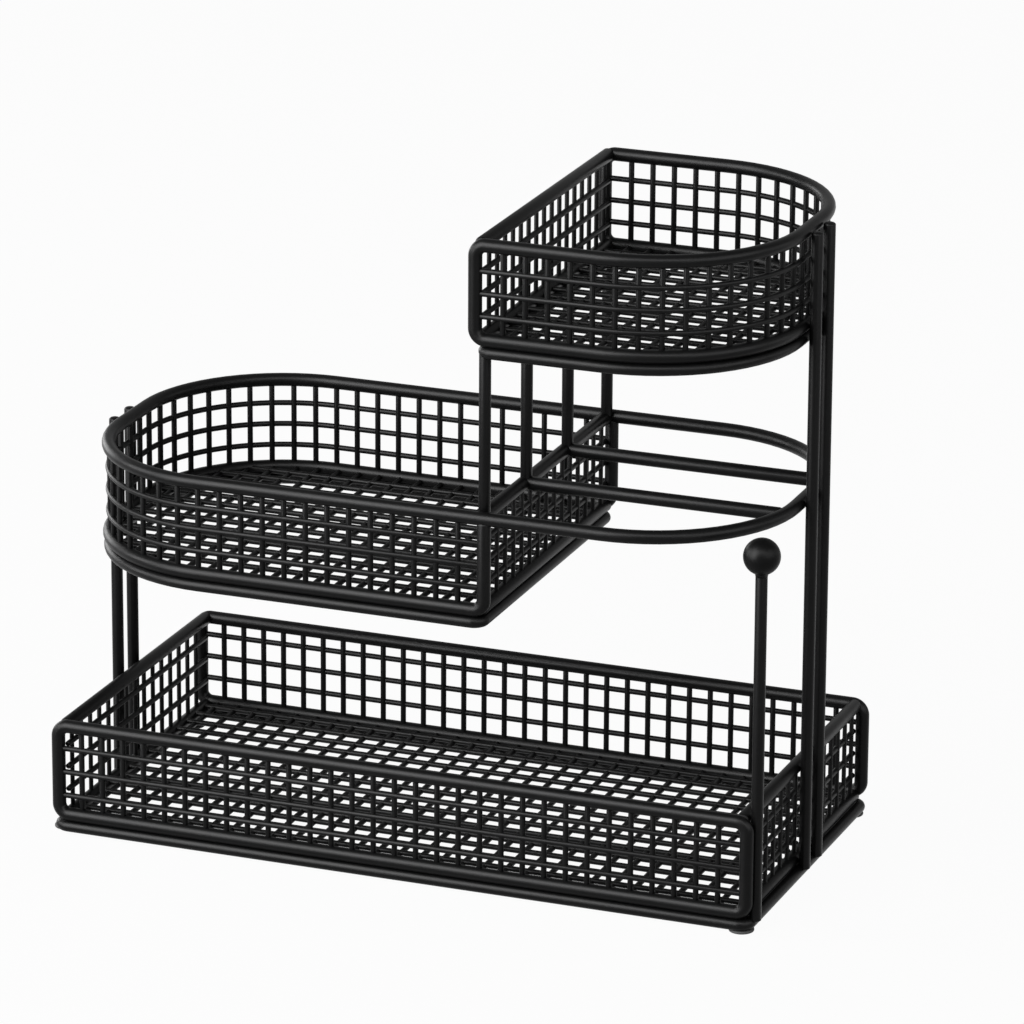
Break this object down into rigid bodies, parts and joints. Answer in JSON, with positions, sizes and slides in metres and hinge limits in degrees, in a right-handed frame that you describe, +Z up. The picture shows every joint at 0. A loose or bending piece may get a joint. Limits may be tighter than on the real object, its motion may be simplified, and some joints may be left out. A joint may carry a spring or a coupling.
{
  "type": "three-tier organizer rack",
  "caption": "Black wire mesh organizer rack with a long bottom tray, a middle basket beside an open shelf, and an upper basket, carried on paired posts.",
  "frame": {"origin": "on the ground under the middle of the overall length, between the front and rear walls", "axes": "+X along the length towards the upper basket and the peg, +Y from the front wall to the rear wall, +Z up"},
  "size_m": [0.336, 0.1617, 0.2934],
  "materials": {
    "coated_wire": "satin black powder coat on steel wire",
    "coated_mesh": "satin black powder coat on welded mesh",
    "ball": "satin black coat",
    "pad": "matte"
  },
  "bodies": {
    "root": {"tray_base_ring": "coated_wire", "tray_front_frame": "coated_wire", "tray_rear_frame": "coated_wire", "tray_front_mesh": "coated_mesh", "tray_rear_mesh": "coated_mesh", "tray_left_rail": "coated_wire", "tray_right_rail": "coated_wire", "tray_left_sill": "coated_wire", "tray_right_sill": "coated_wire", "tray_left_mesh": "coated_mesh", "tray_right_mesh": "coated_mesh", "tray_floor_mesh": "coated_mesh", "front_left_pad": "pad", "front_right_pad": "pad", "rear_left_pad": "pad", "rear_right_pad": "pad", "middle_base_ring": "coated_wire", "middle_lower_frame": "coated_wire", "middle_rim": "coated_wire", "middle_end_rail": "coated_wire", "middle_end_sill": "coated_wire", "middle_wall_mesh": "coated_mesh", "middle_end_mesh": "coated_mesh", "middle_floor_mesh": "coated_mesh", "front_shelf_bar": "coated_wire", "rear_shelf_bar": "coated_wire", "front_outer_riser": "coated_wire", "front_inner_riser": "coated_wire", "rear_inner_riser": "coated_wire", "rear_outer_riser": "coated_wire", "top_base_ring": "coated_wire", "top_side_frame": "coated_wire", "top_end_rail": "coated_wire", "top_end_sill": "coated_wire", "top_wall_mesh": "coated_mesh", "top_end_mesh": "coated_mesh", "top_floor_mesh": "coated_mesh", "left_front_post": "coated_wire", "left_rear_post": "coated_wire", "right_front_post": "coated_wire", "right_rear_post": "coated_wire", "peg_rod": "coated_wire", "ball_knob": "ball"}
  },
  "joints": []
}
